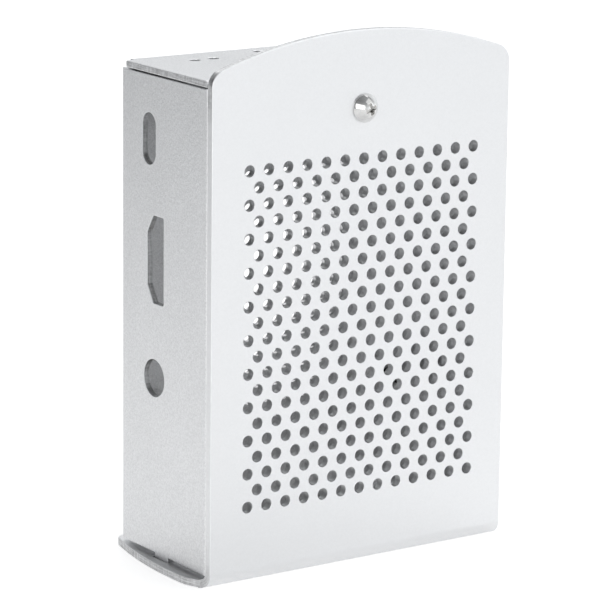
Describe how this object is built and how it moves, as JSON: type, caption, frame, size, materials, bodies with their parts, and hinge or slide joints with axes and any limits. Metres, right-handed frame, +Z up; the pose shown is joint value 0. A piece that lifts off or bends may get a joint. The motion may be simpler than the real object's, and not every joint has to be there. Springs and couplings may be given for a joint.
{
  "type": "single board computer case",
  "caption": "Folded aluminium case for a credit-card size single board computer, with a perforated arched front plate, connector openings and a screwed two-piece shell.",
  "frame": {"origin": "centre of the case in plan, at the underside of the end plate that it stands on", "axes": "+Z up along the case's height, -Y out of the perforated front plate, -X out of the wall with the connector openings"},
  "size_m": [0.0674, 0.0355, 0.0969],
  "materials": {
    "tray_aluminium": "bead blasted and anodised, satin",
    "cover_aluminium": "bead blasted and anodised, satin",
    "nickel_steel": "bright nickel plating",
    "foot_rubber": "matt moulded rubber"
  },
  "bodies": {
    "root": {"base_tray": "tray_aluminium", "cover": "cover_aluminium", "cover_screw": "nickel_steel", "cover_nut": "nickel_steel", "standoff_upper_left": "nickel_steel", "standoff_upper_right": "nickel_steel", "standoff_lower_left": "nickel_steel", "standoff_lower_right": "nickel_steel", "standoff_screw_upper_left": "nickel_steel", "standoff_screw_upper_right": "nickel_steel", "standoff_screw_lower_left": "nickel_steel", "standoff_screw_lower_right": "nickel_steel", "board_screw_upper_left": "nickel_steel", "board_screw_upper_right": "nickel_steel", "board_screw_lower_left": "nickel_steel", "board_screw_lower_right": "nickel_steel", "foot_upper_left": "foot_rubber", "foot_upper_right": "foot_rubber", "foot_lower_left": "foot_rubber", "foot_lower_right": "foot_rubber"}
  },
  "joints": []
}
